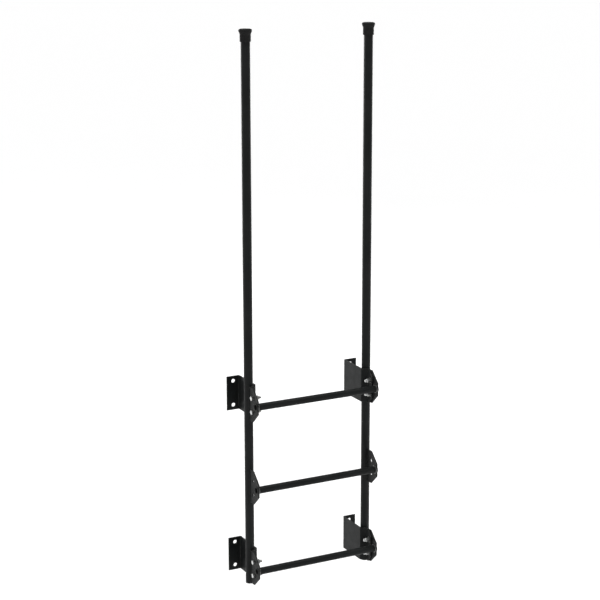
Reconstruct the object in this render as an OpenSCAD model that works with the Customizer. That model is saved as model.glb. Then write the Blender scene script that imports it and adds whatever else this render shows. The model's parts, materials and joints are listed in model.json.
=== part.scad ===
// Fixed wall ladder with three rungs and tall walk-through handrails.
// The origin lies on the wall plane, midway between the rails, at the middle of
// the wall anchor pattern. +Z is up and the climber stands on the -Y side.

/* [Rails] */
// Distance between the centre lines of the two rails
rail_spacing = 470; // [400:5:620]
// Outside diameter of a rail tube
rail_d = 31.8; // [28:0.1:36]
// Wall thickness of a rail tube
rail_wall = 2.8; // [1.5:0.1:4]
// Distance from the wall plane to the rail centre lines
rail_standoff = 125; // [110:1:180]
// Rail length above the axis of the top rung
rail_head = 1291; // [300:1:1400]
// Rail length below the axis of the bottom rung
rail_tail = 66; // [64:1:200]

/* [Rungs] */
// Distance between rung axes
rung_pitch = 304.8; // [250:0.1:310]
// Outside diameter of a rung tube
rung_d = 25.4; // [20:0.1:27]
// Wall thickness of a rung tube
rung_wall = 2.4; // [1.5:0.1:4]
// Distance from the rail centre plane forward to the rung axis
rung_forward = 69; // [60:1:72]
// Length of tube left standing outside each gusset
rung_proud = 2; // [0:0.5:4]

/* [Plates] */
// Thickness of the gusset and bracket plate
plate_t = 4.8; // [3:0.1:6]

/* [Gussets] */
// Height of a gusset
gusset_h = 122; // [110:1:127]
// Distance from the rail centre plane to a gusset's front edge
gusset_reach = 83; // [83:1:100]
// Distance from the rail centre plane to the ends of a gusset's top and bottom edges
gusset_shoulder = 42.7; // [35:0.1:55]
// Height of a gusset's straight front edge
gusset_nose = 47.5; // [35:0.5:70]

/* [Brackets] */
// Height of a bracket
bracket_h = 125; // [115:1:127]
// Height of a bracket's middle above the rung axis
bracket_lift = 1; // [0:0.5:4]
// Width of the flange that lies on the wall
flange_w = 50.8; // [48:0.1:70]
// Diameter of a wall anchor hole
anchor_d = 14.3; // [8:0.1:16]
// Height between the two anchor holes of one bracket
anchor_pitch = 88.9; // [60:0.1:95]
// Gap between the rail and the bracket's web
web_gap = 3.3; // [3:0.1:5]
// Gap between the rail and the slanted leg in front of it
leg_gap = 0.2; // [0.1:0.1:1]
// Angle between the slanted leg and the wall
leg_slant = 30; // [20:1:35]
// Distance from the rail centre plane to the tab's front edge
tab_reach = 53; // [52:1:58]
// Distance from the rail centre plane to the start of the tab's clipped corners
tab_shoulder = 34; // [30:1:45]
// Height of the tab's straight front edge
tab_nose = 80; // [76:1:110]
// Inside radius of the bends
bend_r = 2; // [1:0.5:3]

/* [Fasteners] */
// Bolt shank diameter
bolt_d = 9.5; // [8:0.1:10]
// Bolt length under the head
bolt_l = 31.8; // [28:0.1:40]
// Diameter of the bolt holes in gussets and brackets
bolt_hole_d = 12.7; // [10.5:0.1:13]
// Distance from the rail centre plane forward to the bolts
bolt_forward = 41; // [40:0.5:42]
// Height between the two bolts of one joint
bolt_pitch = 50.8; // [48:0.1:56]
// Width across flats of the bolt heads and nuts
hex_af = 14.3; // [13:0.1:15]
// Height of a bolt head
head_h = 6.2; // [5:0.1:8]
// Height of a nut
nut_h = 8.3; // [6:0.1:9]
// Outside diameter of a flat washer
flat_washer_d = 20.6; // [18:0.1:21]
// Diameter of a flat washer's hole
flat_washer_hole_d = 10.7; // [10.3:0.1:11]
// Thickness of a flat washer
flat_washer_t = 1.6; // [1:0.1:2]
// Diameter of a split lock washer
lock_washer_d = 16.8; // [15:0.1:18]
// Thickness of a split lock washer
lock_washer_t = 2.4; // [1.5:0.1:3]
// Width of the slit in a lock washer
lock_washer_slit = 1.2; // [0.8:0.1:2]

/* [Caps] */
// Height of a rubber cap
cap_h = 43; // [32:1:60]
// Thickness of the cap's sleeve
cap_wall = 2.9; // [2:0.1:4]
// Thickness of rubber over the rail's end at the rim
cap_top = 5.5; // [5:0.5:8]
// How far the cap's top flares past the sleeve
cap_flare = 4; // [3:0.1:5]
// Rise of the domed top above the rim
cap_dome = 1; // [0.5:0.5:3]

/* [Hidden] */
$fn = 64;

left = -1;
right = 1;
top = 1;
middle = 0;
bottom = -1;

rail_x = rail_spacing / 2;
rail_r = rail_d / 2;
rail_bottom = -rung_pitch - bracket_lift - rail_tail;
rail_top = rung_pitch - bracket_lift + rail_head;
rung_l = rail_spacing + 2 * (plate_t + rung_proud);

// The web stands beside the rail, and the leg crosses its front at a slant
bend_out = bend_r + plate_t;
bend_steps = 8;
web_out = rail_r + web_gap + plate_t;
leg_front = rail_r + leg_gap + plate_t;
leg_turn = 90 - leg_slant;
leg_normal = [cos(leg_turn), -sin(leg_turn)];
flange_edge = web_out - flange_w;
anchor_x = (flange_edge + web_out) / 2;

cap_r = rail_r + cap_wall;
cap_rim_r = cap_r + cap_flare;
cap_rim_h = cap_h - cap_dome;
cap_sleeve_h = cap_rim_h - cap_top;
cap_round = 5;
cap_flare_h = cap_rim_h / 3;

hex_r = hex_af / sqrt(3);
hex_chamfer = hex_r - hex_af / 2;
lock_seat = plate_t + flat_washer_t;
nut_seat = lock_seat + lock_washer_t;
eps = 0.01;

black_steel = "#232524";
zinc_plate = "#b9bcbb";
black_rubber = "#1b1c1c";

// Moves a shape drawn around the left rail's axis to one side and one rung's height
module at_joint(side, level)
    mirror([side == right ? 1 : 0, 0, 0])
        translate([-rail_x, -rail_standoff, level * rung_pitch - bracket_lift])
            children();

// Repeats a shape at the two bolts of one joint, axis +X towards the ladder's middle
module at_bolts(from_x)
    for (z = [-1, 1] * bolt_pitch / 2)
        translate([from_x, -bolt_forward, z])
            rotate([0, 90, 0])
                children();

module tube(d, wall, length)
    difference() {
        cylinder(d = d, h = length);
        translate([0, 0, -eps])
            cylinder(d = d - 2 * wall, h = length + 2 * eps);
    }

module rail(side)
    color(black_steel)
        translate([side * rail_x, -rail_standoff, rail_bottom])
            tube(rail_d, rail_wall, rail_top - rail_bottom);

module rung(level)
    color(black_steel)
        translate([-rung_l / 2, -rail_standoff - rung_forward, level * rung_pitch - bracket_lift])
            rotate([0, 90, 0])
                tube(rung_d, rung_wall, rung_l);

// Cap outline: straight sleeve, smoothly widening flare, rounded rim and low dome
function cap_outline() = concat(
    [[0, 0], [cap_r, 0]],
    [for (s = [0 : 0.125 : 1])
        [cap_r + cap_flare * (1 - cos(180 * s)) / 2, cap_rim_h - cap_round - cap_flare_h * (1 - s)]],
    [for (a = [15 : 15 : 90])
        [cap_rim_r - cap_round * (1 - cos(a)), cap_rim_h - cap_round * (1 - sin(a))]],
    [for (s = [0.75, 0.5, 0.25, 0])
        [(cap_rim_r - cap_round) * s, cap_rim_h + cap_dome * (1 - s * s)]]
);

module cap(side)
    color(black_rubber)
        translate([side * rail_x, -rail_standoff, rail_top - cap_sleeve_h])
            difference() {
                rotate_extrude()
                    polygon(cap_outline());
                translate([0, 0, -eps])
                    cylinder(d = rail_d, h = cap_sleeve_h + eps);
            }

// Gusset outline as seen from the side, x to the front and y up
module gusset_outline()
    polygon([
        [0, -gusset_h / 2], [gusset_shoulder, -gusset_h / 2], [gusset_reach, -gusset_nose / 2],
        [gusset_reach, gusset_nose / 2], [gusset_shoulder, gusset_h / 2], [0, gusset_h / 2]
    ]);

// Plate on the outer side of the rail's centre plane, coped to the rail's front
module gusset(side, level)
    color(black_steel)
        at_joint(side, level)
            difference() {
                rotate([90, 0, -90])
                    linear_extrude(plate_t)
                        gusset_outline();
                translate([0, 0, -gusset_h])
                    cylinder(r = rail_r, h = 2 * gusset_h);
                translate([-plate_t - eps, -rung_forward, 0])
                    rotate([0, 90, 0])
                        cylinder(d = rung_d, h = plate_t + 2 * eps);
                at_bolts(-plate_t - eps)
                    cylinder(d = bolt_hole_d, h = plate_t + 2 * eps);
            }

// Points of an arc around centre between two angles
function arc(centre, radius, start, end) = [
    for (i = [0 : bend_steps])
        let (a = start + (end - start) * i / bend_steps)
            centre + radius * [cos(a), sin(a)]
];

// Point at a given x that lies a given distance from the rail's axis along the leg's normal
function leg_point(x, distance) = [x, (distance - leg_normal.x * x) / leg_normal.y];

// Bent plate seen from above: wall flange, web, slanted leg and bolting tab
module bracket_profile() {
    wall_bend = [web_out, rail_standoff] - bend_out * [1, 1];
    web_bend = leg_point(web_out - bend_out, leg_front - bend_out);
    tab_bend = leg_point(bend_out, leg_front + bend_r);
    polygon(concat(
        [[flange_edge, rail_standoff - plate_t], [flange_edge, rail_standoff]],
        arc(wall_bend, bend_out, 90, 0),
        arc(web_bend, bend_out, 0, -leg_turn),
        arc(tab_bend, bend_r, 180 - leg_turn, 180),
        [[plate_t, -tab_reach], [0, -tab_reach]],
        arc(tab_bend, bend_out, 180, 180 - leg_turn),
        arc(web_bend, bend_r, -leg_turn, 0),
        arc(wall_bend, bend_r, 0, 90)
    ));
}

// Bracket outline as seen from the side, x to the front and y up
module bracket_outline()
    polygon([
        [-rail_standoff, -bracket_h / 2], [tab_shoulder, -bracket_h / 2], [tab_reach, -tab_nose / 2],
        [tab_reach, tab_nose / 2], [tab_shoulder, bracket_h / 2], [-rail_standoff, bracket_h / 2]
    ]);

module bracket(side, level)
    color(black_steel)
        at_joint(side, level)
            difference() {
                translate([0, 0, bracket_lift])
                    intersection() {
                        translate([0, 0, -bracket_h / 2])
                            linear_extrude(bracket_h)
                                bracket_profile();
                        translate([web_out, 0, 0])
                            rotate([90, 0, -90])
                                linear_extrude(flange_w)
                                    bracket_outline();
                    }
                for (z = [-1, 1] * anchor_pitch / 2)
                    translate([anchor_x, rail_standoff + eps, bracket_lift + z])
                        rotate([90, 0, 0])
                            cylinder(d = anchor_d, h = plate_t + 2 * eps);
                at_bolts(-eps)
                    cylinder(d = bolt_hole_d, h = plate_t + 2 * eps);
            }

// Hexagonal prism with its corners chamfered at the far end, or at both ends
module hex_body(height, both_ends)
    intersection() {
        rotate([0, 0, 30])
            cylinder(r = hex_r, h = height, $fn = 6);
        rotate_extrude()
            polygon([
                [0, 0], [both_ends ? hex_af / 2 : hex_r, 0],
                [hex_r, both_ends ? hex_chamfer * tan(30) : 0],
                [hex_r, height - hex_chamfer * tan(30)], [hex_af / 2, height], [0, height]
            ]);
    }

// Head on the outer side of the gusset, shank through to the inner side
module bolts(side, level)
    color(zinc_plate)
        at_joint(side, level)
            at_bolts(-plate_t) {
                mirror([0, 0, 1])
                    hex_body(head_h, false);
                cylinder(d = bolt_d, h = bolt_l);
            }

module nuts(side, level)
    color(zinc_plate)
        at_joint(side, level)
            at_bolts(nut_seat)
                difference() {
                    hex_body(nut_h, true);
                    translate([0, 0, -eps])
                        cylinder(d = bolt_d, h = nut_h + 2 * eps);
                }

module flat_washers(side, level)
    color(zinc_plate)
        at_joint(side, level)
            at_bolts(plate_t)
                tube(flat_washer_d, (flat_washer_d - flat_washer_hole_d) / 2, flat_washer_t);

module lock_washers(side, level)
    color(zinc_plate)
        at_joint(side, level)
            at_bolts(lock_seat)
                difference() {
                    tube(lock_washer_d, (lock_washer_d - bolt_d) / 2, lock_washer_t);
                    translate([0, -lock_washer_slit / 2, -eps])
                        cube([lock_washer_d, lock_washer_slit, lock_washer_t + 2 * eps]);
                }

rail(left);  // left_rail
rail(right);  // right_rail
cap(left);  // left_cap
cap(right);  // right_cap
rung(top);  // top_rung
rung(middle);  // middle_rung
rung(bottom);  // bottom_rung
gusset(left, top);  // left_top_gusset
gusset(left, middle);  // left_middle_gusset
gusset(left, bottom);  // left_bottom_gusset
gusset(right, top);  // right_top_gusset
gusset(right, middle);  // right_middle_gusset
gusset(right, bottom);  // right_bottom_gusset
bracket(left, top);  // left_top_bracket
bracket(left, bottom);  // left_bottom_bracket
bracket(right, top);  // right_top_bracket
bracket(right, bottom);  // right_bottom_bracket
bolts(left, top);  // left_top_bolts
bolts(left, bottom);  // left_bottom_bolts
bolts(right, top);  // right_top_bolts
bolts(right, bottom);  // right_bottom_bolts
nuts(left, top);  // left_top_nuts
nuts(left, bottom);  // left_bottom_nuts
nuts(right, top);  // right_top_nuts
nuts(right, bottom);  // right_bottom_nuts
flat_washers(left, top);  // left_top_flat_washers
flat_washers(left, bottom);  // left_bottom_flat_washers
flat_washers(right, top);  // right_top_flat_washers
flat_washers(right, bottom);  // right_bottom_flat_washers
lock_washers(left, top);  // left_top_lock_washers
lock_washers(left, bottom);  // left_bottom_lock_washers
lock_washers(right, top);  // right_top_lock_washers
lock_washers(right, bottom);  // right_bottom_lock_washers
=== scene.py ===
import json
import math
import random

import bmesh
import bpy
from mathutils import Matrix, Vector


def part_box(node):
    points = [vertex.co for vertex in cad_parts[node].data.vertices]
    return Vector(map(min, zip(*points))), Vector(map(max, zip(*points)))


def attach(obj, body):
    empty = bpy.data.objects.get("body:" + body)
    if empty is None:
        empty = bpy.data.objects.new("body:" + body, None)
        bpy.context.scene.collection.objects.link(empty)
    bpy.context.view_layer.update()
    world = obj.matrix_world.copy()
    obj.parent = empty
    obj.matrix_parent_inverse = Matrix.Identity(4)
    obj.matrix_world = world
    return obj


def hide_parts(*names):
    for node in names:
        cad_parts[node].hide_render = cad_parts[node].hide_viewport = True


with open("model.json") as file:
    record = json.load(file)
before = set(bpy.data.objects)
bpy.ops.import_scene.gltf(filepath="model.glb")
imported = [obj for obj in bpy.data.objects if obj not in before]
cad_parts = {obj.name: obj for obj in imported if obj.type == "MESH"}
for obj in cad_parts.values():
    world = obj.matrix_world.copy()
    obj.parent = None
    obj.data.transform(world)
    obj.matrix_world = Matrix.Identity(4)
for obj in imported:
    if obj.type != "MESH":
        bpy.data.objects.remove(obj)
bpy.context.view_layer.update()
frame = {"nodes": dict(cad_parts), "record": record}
MM = 0.001

SIDES = ("left", "right")
LEVELS = ("top", "middle", "bottom")
BRACKET_LEVELS = ("top", "bottom")


# ---------------------------------------------------------------- places read from the frame

def middle_of(node):
    """Centre of a CAD node's box."""
    low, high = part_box(node)
    return (low + high) / 2


def span_of(node):
    """Size of a CAD node's box."""
    low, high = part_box(node)
    return high - low


RAIL_R = span_of("left_rail").x / 2
RUNG_R = span_of("top_rung").z / 2
OUTWARD = {"left": -1, "right": 1}


# ---------------------------------------------------------------- camera, floor and light

CAMERA_PLACE = (-2.8417, -5.5599, 2.2028)
CAMERA_YAW = math.radians(27.339)
CAMERA_PITCH = math.radians(14.259)
CAMERA_ROLL = math.radians(-0.103)
CAMERA_LENS = 108.25
CAMERA_SENSOR = 36


def make_camera():
    """Long lens, from the climber's left and above the rungs."""
    data = bpy.data.cameras.new("camera")
    data.lens = CAMERA_LENS
    data.sensor_width = CAMERA_SENSOR
    data.clip_start = 0.1
    data.clip_end = 60
    camera = bpy.data.objects.new("camera", data)
    bpy.context.scene.collection.objects.link(camera)
    turn = Matrix.Rotation(-CAMERA_YAW, 4, "Z") @ Matrix.Rotation(math.pi / 2 - CAMERA_PITCH, 4, "X")
    roll = Matrix.Rotation(CAMERA_ROLL, 4, "Z")
    camera.matrix_world = Matrix.Translation(CAMERA_PLACE) @ turn @ roll
    bpy.context.scene.camera = camera


make_camera()


def node_tree(owner):
    """Empties a material's or world's node tree and returns it."""
    owner.use_nodes = True
    owner.node_tree.nodes.clear()
    return owner.node_tree


HORIZON_STRENGTH = 0.8
ZENITH_STRENGTH = 0.25
# Upward part of a unit direction from which the world is as dim as at the zenith
ZENITH_FROM = 0.7

OVERHEAD_STRENGTH = 2.3
OVERHEAD_ANGLE = math.radians(60)
BOX_TARGET = Vector((0, 0, 0.3))
BOX_SIZE = 3.0

FLOOR_HALF_WIDTH = 40
FLOOR_WHITE = 0.93


def make_world():
    """White behind the floor's far edge. As a light it is dimmer, and dimmest overhead."""
    world = bpy.data.worlds.new("studio")
    tree = node_tree(world)
    direction = tree.nodes.new("ShaderNodeTexCoord")
    parts = tree.nodes.new("ShaderNodeSeparateXYZ")
    tree.links.new(direction.outputs["Generated"], parts.inputs[0])
    fall = tree.nodes.new("ShaderNodeMapRange")
    fall.inputs["From Max"].default_value = ZENITH_FROM
    fall.inputs["To Min"].default_value = HORIZON_STRENGTH
    fall.inputs["To Max"].default_value = ZENITH_STRENGTH
    tree.links.new(parts.outputs["Z"], fall.inputs["Value"])
    light_path = tree.nodes.new("ShaderNodeLightPath")
    strength = tree.nodes.new("ShaderNodeMapRange")
    strength.inputs["To Max"].default_value = 1.0
    tree.links.new(fall.outputs[0], strength.inputs["To Min"])
    tree.links.new(light_path.outputs["Is Camera Ray"], strength.inputs["Value"])
    background = tree.nodes.new("ShaderNodeBackground")
    background.inputs["Color"].default_value = (1.0, 1.0, 1.0, 1.0)
    tree.links.new(strength.outputs[0], background.inputs["Strength"])
    output = tree.nodes.new("ShaderNodeOutputWorld")
    tree.links.new(background.outputs[0], output.inputs[0])
    bpy.context.scene.world = world


def soft_box(name, place, power):
    """Square soft box aimed at the rungs."""
    data = bpy.data.lights.new(name, "AREA")
    data.size = BOX_SIZE
    data.energy = power
    lamp = bpy.data.objects.new(name, data)
    bpy.context.scene.collection.objects.link(lamp)
    aim = BOX_TARGET - Vector(place)
    lamp.location = place
    lamp.rotation_euler = aim.to_track_quat("-Z", "Y").to_euler()


def overhead_light():
    """Soft light from straight above, which whitens the whole floor evenly."""
    data = bpy.data.lights.new("overhead", "SUN")
    data.energy = OVERHEAD_STRENGTH
    data.angle = OVERHEAD_ANGLE
    bpy.context.scene.collection.objects.link(bpy.data.objects.new("overhead", data))


def make_floor():
    """Pale floor one rung step below the bottom rung, wide enough to fill every view."""
    rung_step = middle_of("middle_rung").z - middle_of("bottom_rung").z
    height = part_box("bottom_rung")[0].z - rung_step
    mesh = bpy.data.meshes.new("floor")
    shape = bmesh.new()
    bmesh.ops.create_grid(shape, x_segments=4, y_segments=4, size=FLOOR_HALF_WIDTH)
    bmesh.ops.translate(shape, verts=shape.verts, vec=(0, 0, height))
    shape.to_mesh(mesh)
    shape.free()
    floor = bpy.data.objects.new("floor", mesh)
    bpy.context.scene.collection.objects.link(floor)
    material = bpy.data.materials.new("pale_floor")
    tree = node_tree(material)
    shader = tree.nodes.new("ShaderNodeBsdfPrincipled")
    shader.inputs["Base Color"].default_value = (FLOOR_WHITE, FLOOR_WHITE, FLOOR_WHITE, 1.0)
    shader.inputs["Roughness"].default_value = 0.95
    shader.inputs["Specular IOR Level"].default_value = 0.0
    output = tree.nodes.new("ShaderNodeOutputMaterial")
    tree.links.new(shader.outputs[0], output.inputs[0])
    mesh.materials.append(material)


make_world()
make_floor()
overhead_light()
soft_box("left_box", (-5.0, 1.0, 1.2), 10)
soft_box("right_box", (5.0, 1.0, 1.6), 90)
soft_box("back_box", (-1.0, 5.0, 1.6), 90)
bpy.context.scene.view_settings.view_transform = "Standard"


# ---------------------------------------------------------------- materials

# Sockets of the Mix node that hold its two colours and its mixed colour
MIX_COLOURS = slice(6, 8)
MIX_RESULT = 2


class Shader:
    """Small helper that adds nodes to one principled material."""

    def __init__(self, name):
        self.material = bpy.data.materials.new(name)
        self.tree = node_tree(self.material)
        self.principled = self.add("ShaderNodeBsdfPrincipled")
        output = self.add("ShaderNodeOutputMaterial")
        self.link(self.principled.outputs[0], output.inputs[0])
        self.place = self.add("ShaderNodeTexCoord").outputs["Object"]

    def add(self, kind, **settings):
        made = self.tree.nodes.new(kind)
        for key, value in settings.items():
            setattr(made, key, value)
        return made

    def link(self, source, target):
        self.tree.links.new(source, target)

    def noise(self, scale, detail=3.0, rough=0.55, stretch=(1, 1, 1)):
        """Noise in the piece's own coordinates, with scale in cycles a metre."""
        mapping = self.add("ShaderNodeMapping")
        mapping.inputs["Scale"].default_value = stretch
        self.link(self.place, mapping.inputs["Vector"])
        texture = self.add("ShaderNodeTexNoise")
        texture.inputs["Scale"].default_value = scale
        texture.inputs["Detail"].default_value = detail
        texture.inputs["Roughness"].default_value = rough
        self.link(mapping.outputs[0], texture.inputs["Vector"])
        return texture.outputs["Fac"]

    def ramp(self, value, low, high, out_low=0.0, out_high=1.0):
        """Smooth remap of a value from one range to another, clamped."""
        made = self.add("ShaderNodeMapRange", interpolation_type="SMOOTHSTEP")
        made.inputs["From Min"].default_value = low
        made.inputs["From Max"].default_value = high
        made.inputs["To Min"].default_value = out_low
        made.inputs["To Max"].default_value = out_high
        self.link(value, made.inputs["Value"])
        return made.outputs[0]

    def math(self, operation, first, second):
        made = self.add("ShaderNodeMath", operation=operation)
        for socket, value in zip(made.inputs, (first, second)):
            if isinstance(value, (int, float)):
                socket.default_value = value
            else:
                self.link(value, socket)
        return made.outputs[0]

    def mix(self, factor, first, second):
        """Mixes two colours; a colour is a socket or three numbers."""
        made = self.add("ShaderNodeMix", data_type="RGBA")
        self.link(factor, made.inputs["Factor"])
        for socket, value in zip(made.inputs[MIX_COLOURS], (first, second)):
            if isinstance(value, tuple):
                socket.default_value = (*value, 1.0)
            else:
                self.link(value, socket)
        return made.outputs[MIX_RESULT]

    def bump(self, height, distance, strength=1.0, normal=None):
        made = self.add("ShaderNodeBump")
        made.inputs["Distance"].default_value = distance
        made.inputs["Strength"].default_value = strength
        self.link(height, made.inputs["Height"])
        if normal is not None:
            self.link(normal, made.inputs["Normal"])
        return made.outputs[0]

    def edges(self, radius, low, high):
        """1 near convex and concave edges, 0 on flat faces. radius is how far from an edge it reaches."""
        bevel = self.add("ShaderNodeBevel", samples=4)
        bevel.inputs["Radius"].default_value = radius
        geometry = self.add("ShaderNodeNewGeometry")
        dot = self.add("ShaderNodeVectorMath", operation="DOT_PRODUCT")
        self.link(bevel.outputs[0], dot.inputs[0])
        self.link(geometry.outputs["Normal"], dot.inputs[1])
        return self.ramp(self.math("SUBTRACT", 1.0, dot.outputs["Value"]), low, high)

    def set(self, **values):
        for key, value in values.items():
            socket = self.principled.inputs[key.replace("_", " ")]
            if isinstance(value, (int, float)):
                socket.default_value = value
            elif isinstance(value, tuple):
                socket.default_value = (*value, 1.0)
            else:
                self.link(value, socket)


def powder_coat(name, edge_wear_and_highlight, scuffs=0.0):
    """Black powder coat with orange peel, faint mottling, specks, and lightened edges: partly worn bare
    coat, partly a painted edge highlight.

    The second argument sets how strongly the edges are lightened, by worn coat and painted highlight
    together, and scuffs is how marked the upper side is.
    """
    s = Shader(name)
    mottle = s.ramp(s.noise(9, 4), 0.35, 0.7)
    colour = s.mix(mottle, (0.0088, 0.0098, 0.0098), (0.0130, 0.0141, 0.0140))
    speck = s.ramp(s.noise(420, 2), 0.66, 0.74)
    colour = s.mix(speck, colour, (0.012, 0.013, 0.0125))
    patches = s.ramp(s.noise(60, 4), 0.40, 0.62)
    # Edges lightened in patches, partly as worn bare coat and partly as a painted edge highlight.
    rubbed_and_painted_highlight = s.math("MULTIPLY", s.math("MULTIPLY", s.edges(1.6 * MM, 0.006, 0.09), patches), edge_wear_and_highlight)
    colour = s.mix(rubbed_and_painted_highlight, colour, (0.140, 0.138, 0.132))
    rough = s.ramp(s.noise(28, 4), 0.3, 0.7, 0.38, 0.48)
    if scuffs:
        facing = s.add("ShaderNodeSeparateXYZ")
        s.link(s.add("ShaderNodeNewGeometry").outputs["Normal"], facing.inputs[0])
        upper = s.ramp(facing.outputs["Z"], 0.45, 0.95)
        marks = s.ramp(s.noise(55, 6, 0.7, (0.35, 1.6, 1.6)), 0.56, 0.70)
        trodden = s.math("MULTIPLY", s.math("MULTIPLY", upper, marks), scuffs)
        colour = s.mix(trodden, colour, (0.030, 0.030, 0.029))
        rough = s.math("ADD", rough, s.math("MULTIPLY", trodden, 0.18))
    peel = s.noise(650, 2, 0.5)
    waves = s.noise(120, 2, 0.5)
    normal = s.bump(peel, 0.3 * MM, 0.8, s.bump(waves, 0.4 * MM, 0.4))
    s.set(Base_Color=colour, Roughness=rough, Normal=normal, Specular_IOR_Level=0.09)
    return s.material


def weld_coat():
    """Powder coat over a weld bead, where it flows out smoother and glossier."""
    s = Shader("black_powder_coat_weld")
    mottle = s.ramp(s.noise(140, 3), 0.35, 0.7)
    colour = s.mix(mottle, (0.0060, 0.0068, 0.0065), (0.0105, 0.0112, 0.0108))
    rough = s.ramp(s.noise(220, 3), 0.3, 0.7, 0.12, 0.24)
    normal = s.bump(s.noise(800, 2), 0.1 * MM, 0.4)
    s.set(Base_Color=colour, Roughness=rough, Normal=normal, Specular_IOR_Level=0.9)
    return s.material


def zinc_plate(name, cool, warm, dull):
    """Zinc plating on fasteners: cool and warm patches, fine marks and dull grime."""
    s = Shader(name)
    patch = s.ramp(s.noise(160, 3), 0.3, 0.7)
    colour = s.mix(patch, cool, warm)
    grime = s.ramp(s.noise(90, 4), 0.55, 0.75)
    colour = s.mix(s.math("MULTIPLY", grime, 0.5), colour, dull)
    rough = s.ramp(s.noise(300, 3), 0.3, 0.7, 0.24, 0.42)
    marks = s.noise(900, 2, 0.5, (1, 0.15, 1))
    s.set(Base_Color=colour, Roughness=rough, Metallic=1.0, Normal=s.bump(marks, 0.05 * MM, 0.4))
    return s.material


def rubber():
    """Matt black rubber with a pebbled skin and a little dust."""
    s = Shader("cap_rubber_skin")
    dust = s.ramp(s.noise(75, 5), 0.45, 0.8)
    colour = s.mix(dust, (0.0140, 0.0141, 0.0141), (0.0210, 0.0210, 0.0205))
    rough = s.ramp(s.noise(180, 3), 0.3, 0.7, 0.55, 0.7)
    normal = s.bump(s.noise(1100, 2, 0.6), 0.15 * MM, 0.5)
    s.set(Base_Color=colour, Roughness=rough, Normal=normal, Specular_IOR_Level=0.05)
    return s.material


STEEL = powder_coat("black_powder_coat", 0.6)
RUNG_STEEL = powder_coat("black_powder_coat_rung", 0.6, 0.8)
# Plates get the strongest edge lightening, partly a painted edge highlight.
PLATE_STEEL = powder_coat("black_powder_coat_plate", 1.0)
WELD_STEEL = weld_coat()
ZINC = zinc_plate("zinc_plate", (0.52, 0.54, 0.56), (0.62, 0.61, 0.58), (0.32, 0.31, 0.29))
# Darker copies of the same zinc plate as painted shade: a mid shade for the nuts, a deep shade for the
# washers.
ZINC_PAINTED_SHADE_MID = zinc_plate("zinc_plate_painted_shade_mid", (0.26, 0.27, 0.28), (0.36, 0.36, 0.34), (0.14, 0.14, 0.13))
ZINC_PAINTED_SHADE_DARK = zinc_plate("zinc_plate_painted_shade_dark", (0.10, 0.105, 0.11), (0.17, 0.17, 0.16), (0.06, 0.06, 0.055))
RUBBER = rubber()

SLOT_MATERIALS = {
    "rail_steel": STEEL,
    "rung_steel": RUNG_STEEL,
    "plate_steel": PLATE_STEEL,
    "zinc": ZINC,
    "cap_rubber": RUBBER,
}

# Radius of the broken edge on the nodes of each slot
EDGE_BREAK = {
    "rail_steel": 0.4 * MM,
    "rung_steel": 0.4 * MM,
    "plate_steel": 0.6 * MM,
    "zinc": 0.25 * MM,
}
WELD_DISTANCE = 0.001 * MM
FLAT_ANGLE = math.radians(0.3)
SHARP_ANGLE = math.radians(40)


def break_edges(piece, width):
    """Rounds a CAD node's sharp edges a little, after its flat faces are joined up."""
    weld = piece.modifiers.new("weld", "WELD")
    weld.merge_threshold = WELD_DISTANCE
    flats = piece.modifiers.new("flats", "DECIMATE")
    flats.decimate_type = "DISSOLVE"
    flats.angle_limit = FLAT_ANGLE
    bevel = piece.modifiers.new("broken_edges", "BEVEL")
    bevel.width = width
    bevel.segments = 2
    bevel.limit_method = "ANGLE"
    bevel.angle_limit = SHARP_ANGLE
    bevel.use_clamp_overlap = False
    bevel.harden_normals = True


def finish_cad_nodes():
    """Gives every CAD node its material, and breaks its edges unless it is rubber."""
    slots = {part["node"]: part["material_slot"] for part in frame["record"]["subparts"]}
    for name, piece in frame["nodes"].items():
        for holder in piece.material_slots:
            holder.material = SLOT_MATERIALS[slots[name]]
            # Nuts and washers take the darker zinc copies, which are painted shade.
            if name.endswith("nuts"):
                holder.material = ZINC_PAINTED_SHADE_MID
            elif name.endswith("washers"):
                holder.material = ZINC_PAINTED_SHADE_DARK
        if slots[name] in EDGE_BREAK:
            break_edges(piece, EDGE_BREAK[slots[name]])


finish_cad_nodes()


# ---------------------------------------------------------------- mesh helpers

def skin_rings(rings, closed=False):
    """Closed mesh through rings of points: ends are filled, or the last ring joins the first."""
    shape = bmesh.new()
    rows = [[shape.verts.new(point) for point in ring] for ring in rings]
    pairs = list(zip(rows, rows[1:]))
    if closed:
        pairs.append((rows[-1], rows[0]))
    for low, high in pairs:
        for i in range(len(low)):
            j = (i + 1) % len(low)
            shape.faces.new((low[i], low[j], high[j], high[i]))
    if not closed:
        shape.faces.new(reversed(rows[0]))
        shape.faces.new(rows[-1])
    bmesh.ops.recalc_face_normals(shape, faces=shape.faces)
    return shape


def new_piece(name, shape, slot, sharp=180.0, material=None):
    """Turns a bmesh into a piece of the ladder that is finished like its slot."""
    mesh = bpy.data.meshes.new(name)
    shape.to_mesh(mesh)
    shape.free()
    for face in mesh.polygons:
        face.use_smooth = True
    mesh.set_sharp_from_angle(angle=math.radians(sharp))
    mesh.materials.append(material or SLOT_MATERIALS[slot])
    piece = bpy.data.objects.new(name, mesh)
    bpy.context.scene.collection.objects.link(piece)
    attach(piece, "root")
    return piece


def turned(outline, steps, place, along=None):
    """Rings of a turned shape. outline gives (radius, height), and either may depend on the angle."""
    along = along or Matrix.Identity(3)
    rings = []
    for radius, height in outline:
        ring = []
        for i in range(steps):
            angle = math.tau * i / steps
            r = radius(angle) if callable(radius) else radius
            h = height(angle) if callable(height) else height
            ring.append(place + along @ Vector((r * math.cos(angle), r * math.sin(angle), h)))
        rings.append(ring)
    return rings


# ---------------------------------------------------------------- rubber caps

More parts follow.
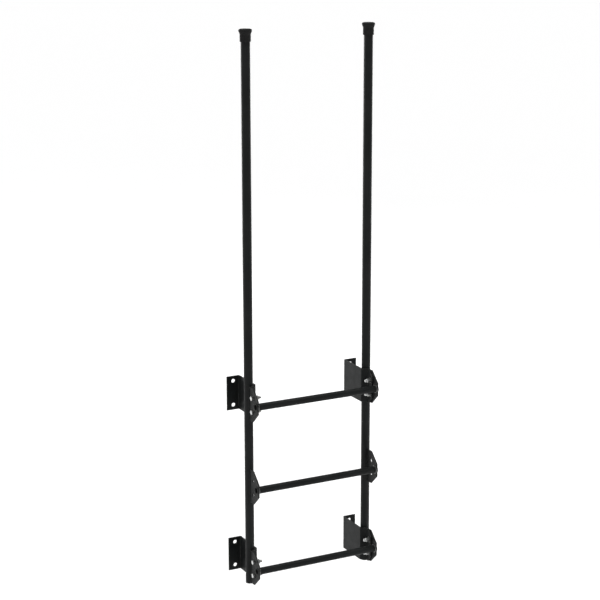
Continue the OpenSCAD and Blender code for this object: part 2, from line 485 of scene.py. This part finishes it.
CAP_STEPS = 96
CAP_WALL = 2.9 * MM
CAP_TOP = 5.5 * MM
CAP_DOME = 1.0 * MM
CAP_RIM_ROUND = 5.0 * MM
CAP_LIP = 0.8 * MM
CAP_SHARP = 50
# Radius of the ring in the middle of the bore's closed end, which one face fills
CAP_CENTRE_R = 0.05 * MM
PARTING_LINE = 0.15 * MM
# How steeply the parting line falls away to each side
PARTING_FALL = 18
LIP_STEPS = 6
FLARE_STEPS = 16
RIM_STEPS = 9
DOME_STEPS = 8
# Steps from the dome's edge to its middle, a little more than are made
DOME_SPAN = 8.2


def cap_outline(rim_r, height):
    """Bore, lip, sleeve, hollow flare, round rim and low dome, from the bore's closed end on."""
    sleeve_r = RAIL_R + CAP_WALL
    rim_z = height - CAP_DOME
    flare = rim_r - sleeve_r
    flare_h = rim_z / 3

    def seamed(radius):
        def at(angle):
            return radius + PARTING_LINE * max(0.0, 1 - abs(math.sin(angle)) * PARTING_FALL)
        return at

    rows = [(CAP_CENTRE_R, rim_z - CAP_TOP), (RAIL_R, rim_z - CAP_TOP), (RAIL_R, CAP_LIP)]
    rows += [(RAIL_R + CAP_LIP / 2, 0.0), (sleeve_r - CAP_LIP, 0.0)]
    for step in range(1, LIP_STEPS + 1):
        turn = math.radians(90 / LIP_STEPS * step)
        rows.append((seamed(sleeve_r - CAP_LIP * (1 - math.sin(turn))), CAP_LIP * (1 - math.cos(turn))))
    for step in range(FLARE_STEPS + 1):
        along = step / FLARE_STEPS
        rows.append((seamed(sleeve_r + flare * (1 - math.cos(math.pi * along)) / 2),
                     rim_z - CAP_RIM_ROUND - flare_h * (1 - along)))
    for step in range(1, RIM_STEPS + 1):
        turn = math.radians(90 / RIM_STEPS * step)
        rows.append((rim_r - CAP_RIM_ROUND * (1 - math.cos(turn)),
                     rim_z - CAP_RIM_ROUND * (1 - math.sin(turn))))
    for step in range(1, DOME_STEPS + 1):
        outwards = 1 - step / DOME_SPAN
        rows.append(((rim_r - CAP_RIM_ROUND) * outwards, rim_z + CAP_DOME * (1 - outwards * outwards)))
    return rows


def make_cap(side):
    """Rubber cap in the place of its CAD node."""
    node = side + "_cap"
    low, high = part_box(node)
    foot = Vector(((low.x + high.x) / 2, (low.y + high.y) / 2, low.z))
    rows = cap_outline((high.x - low.x) / 2, high.z - low.z)
    shape = skin_rings(turned(rows, CAP_STEPS, foot))
    piece = new_piece(side + "_rubber_cap", shape, "cap_rubber", CAP_SHARP)
    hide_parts(node)


for side in SIDES:
    make_cap(side)


# ---------------------------------------------------------------- threaded bolts

BOLT_STEPS = 36
BOLT_SHARP = 32
BOLT_HEAD_H = 6.2 * MM
BOLT_R = 4.72 * MM
BOLT_FILLET = 0.4 * MM
# Radius of the smallest ring at each end, which one face fills
BOLT_CENTRE_R = 0.1 * MM
# Shares of the hexagon's inner radius: a ring on the head's flat top, the chamfer's start, the washer face
TOP_RING_SHARE = 0.6
CHAMFER_SHARE = 0.95
WASHER_FACE_SHARE = 0.97
CHAMFER_SLOPE = math.tan(math.radians(30))
WASHER_FACE_H = 0.4 * MM
POINT_H = 1.2 * MM
POINT_SLOPE = 0.8
THREAD_PITCH = 25.4 * MM / 16
THREAD_DEPTH = 0.85 * MM
THREAD_ROWS = 8
THREAD_START = 12 * MM


def hex_radius(flat):
    """Radius of a hexagon at an angle, with corners at the multiples of 60 degrees."""
    def at(angle):
        return flat / math.cos((angle % (math.pi / 3)) - math.pi / 6)
    return at


def bolt_outline(flat, length):
    """Chamfered hexagonal head, washer face, shank, thread and pointed end, from the head's top."""
    side_of = hex_radius(flat)
    washer_face = flat * WASHER_FACE_SHARE
    end = BOLT_HEAD_H + length
    start = BOLT_HEAD_H + THREAD_START

    def chamfer(angle):
        return (side_of(angle) - flat * CHAMFER_SHARE) * CHAMFER_SLOPE

    rows = [(BOLT_CENTRE_R, 0.0), (flat * TOP_RING_SHARE, 0.0), (flat * CHAMFER_SHARE, 0.0)]
    rows += [(side_of, chamfer), (side_of, BOLT_HEAD_H - WASHER_FACE_H)]
    rows += [(washer_face, BOLT_HEAD_H - WASHER_FACE_H)]
    rows += [(washer_face, BOLT_HEAD_H), (BOLT_R + BOLT_FILLET, BOLT_HEAD_H)]
    rows += [(BOLT_R, BOLT_HEAD_H + BOLT_FILLET)]
    count = int((end - start) / THREAD_PITCH * THREAD_ROWS)
    for row in range(count + 1):
        height = start + row * THREAD_PITCH / THREAD_ROWS

        def crest(angle, height=height):
            phase = (height / THREAD_PITCH - angle / math.tau) % 1
            runout = min(1.0, (height - start) / THREAD_PITCH)
            taper = max(0.0, height - (end - POINT_H)) * POINT_SLOPE
            return BOLT_R - THREAD_DEPTH * runout * (1 - abs(2 * phase - 1)) - taper

        rows.append((crest, height))
    rows.append((BOLT_R - THREAD_DEPTH - POINT_H * POINT_SLOPE, end))
    rows.append((BOLT_CENTRE_R, end))
    return rows


def make_bolts(side, level):
    """Two hex bolts in the place of one bracket's bolts node."""
    node = side + "_" + level + "_bolts"
    low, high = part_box(node)
    flat = (high.y - low.y) / 2 * math.cos(math.pi / 6)
    outer = OUTWARD[side]
    head_x = low.x if outer < 0 else high.x
    inward = Matrix.Rotation(-outer * math.pi / 2, 3, "Y") @ Matrix.Rotation(math.pi / 2, 3, "Z")
    rows = bolt_outline(flat, high.x - low.x - BOLT_HEAD_H)
    pieces = []
    for which, z in (("lower", low.z + flat), ("upper", high.z - flat)):
        place = Vector((head_x, (low.y + high.y) / 2, z))
        shape = skin_rings(turned(rows, BOLT_STEPS, place, inward))
        pieces.append(new_piece("_".join((side, level, which, "hex_bolt")), shape, "zinc", BOLT_SHARP))
    for piece in pieces:
        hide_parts(node)


for side in SIDES:
    for level in BRACKET_LEVELS:
        make_bolts(side, level)


# ---------------------------------------------------------------- weld beads

BEAD_SIDES = 12
BEAD_STEP = 0.5 * MM
RIPPLE = 1.9 * MM
RIPPLE_SWELL = 0.08
# The width drifts by a random step at each ring, and keeps this share of its last drift
DRIFT_KEPT = 0.92
DRIFT_STEP = 0.012
# A straight bead narrows to this share of its width over this many rings at each end
END_WIDTH = 0.35
END_RINGS = 6
SHUFFLE = random.Random(7)

RUNG_BEAD = 3.0 * MM
PROUD_BEAD = 1.9 * MM
RAIL_BEAD = 2.6 * MM
# Share of its radius by which a bead's path stands off the rung
BEAD_LEAN = 0.15
# How far a bead's path stands off the faces that it joins
RUNG_BEAD_OFF = 0.1 * MM
RAIL_BEAD_OFF = 0.3 * MM
# Length of a gusset's edge left bare at each end of a rail bead
BARE_END = 4 * MM


def bead_rings(points, outs, ups, radius, closed):
    """Rings of a bead along a path, with overlapping ripples and an uneven width."""
    rings = []
    travelled = 0.0
    drift = 0.0
    for i, point in enumerate(points):
        if i:
            travelled += (point - points[i - 1]).length
        drift = drift * DRIFT_KEPT + SHUFFLE.uniform(-1, 1) * DRIFT_STEP
        phase = (travelled / RIPPLE) % 1
        joined = math.sin(math.pi * i / len(points)) if closed else 1
        swell = 1 + RIPPLE_SWELL * (1 - phase) ** 2 + drift * joined
        if not closed:
            from_end = min(i, len(points) - 1 - i) / END_RINGS
            swell *= min(1.0, END_WIDTH + (1 - END_WIDTH) * from_end)
        r = radius * swell
        ring = []
        for k in range(BEAD_SIDES):
            turn = math.tau * k / BEAD_SIDES
            ring.append(point + outs[i] * (r * math.cos(turn)) + ups[i] * (r * math.sin(turn)))
        rings.append(ring)
    return rings


def rung_bead(name, centre, facing, radius, material):
    """Fillet that runs round a rung where it meets one face of a gusset."""
    path_r = RUNG_R + radius * BEAD_LEAN
    count = int(math.tau * path_r / BEAD_STEP)
    points, outs, ups = [], [], []
    start = SHUFFLE.uniform(0, math.tau)
    for i in range(count):
        turn = start + math.tau * i / count
        out = Vector((0, math.cos(turn), math.sin(turn)))
        points.append(centre + out * path_r)
        outs.append(out)
        ups.append(Vector((facing, 0, 0)))
    rings = bead_rings(points, outs, ups, radius, True)
    return new_piece(name, skin_rings(rings, closed=True), "plate_steel", material=material)


def rail_bead(name, corner, low, high, out, up, radius):
    """Straight upright fillet between a gusset's face and the rail."""
    count = int((high - low) / BEAD_STEP)
    points = [Vector((corner.x, corner.y, low + (high - low) * i / count)) for i in range(count + 1)]
    rings = bead_rings(points, [out] * len(points), [up] * len(points), radius, False)
    return new_piece(name, skin_rings(rings), "plate_steel")


def weld_gusset(side, level):
    """Beads round the rung on both faces, and up the rail on each face that no bracket covers."""
    low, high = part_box(side + "_" + level + "_gusset")
    rail = middle_of(side + "_rail")
    rung = middle_of(level + "_rung")
    outer = OUTWARD[side]
    faces = {"outer": high.x if outer > 0 else low.x, "inner": low.x if outer > 0 else high.x}
    for face, x in faces.items():
        facing = outer if face == "outer" else -outer
        name = "_".join((side, level, face, "rung_weld"))
        radius, material = (PROUD_BEAD, PLATE_STEEL) if face == "outer" else (RUNG_BEAD, WELD_STEEL)
        rung_bead(name, Vector((x + facing * RUNG_BEAD_OFF, rung.y, rung.z)), facing, radius, material)
        if face == "inner" and level in BRACKET_LEVELS:
            continue
        offset = abs(x - rail.x)
        touch = math.sqrt(RAIL_R ** 2 - offset ** 2)
        corner = Vector((x + facing * RAIL_BEAD_OFF, rail.y - touch - RAIL_BEAD_OFF, 0))
        name = "_".join((side, level, face, "rail_weld"))
        rail_bead(name, corner, low.z + BARE_END, high.z - BARE_END, Vector((facing, 0, 0)),
                  Vector((0, -1, 0)), RAIL_BEAD)


for side in SIDES:
    for level in LEVELS:
        weld_gusset(side, level)
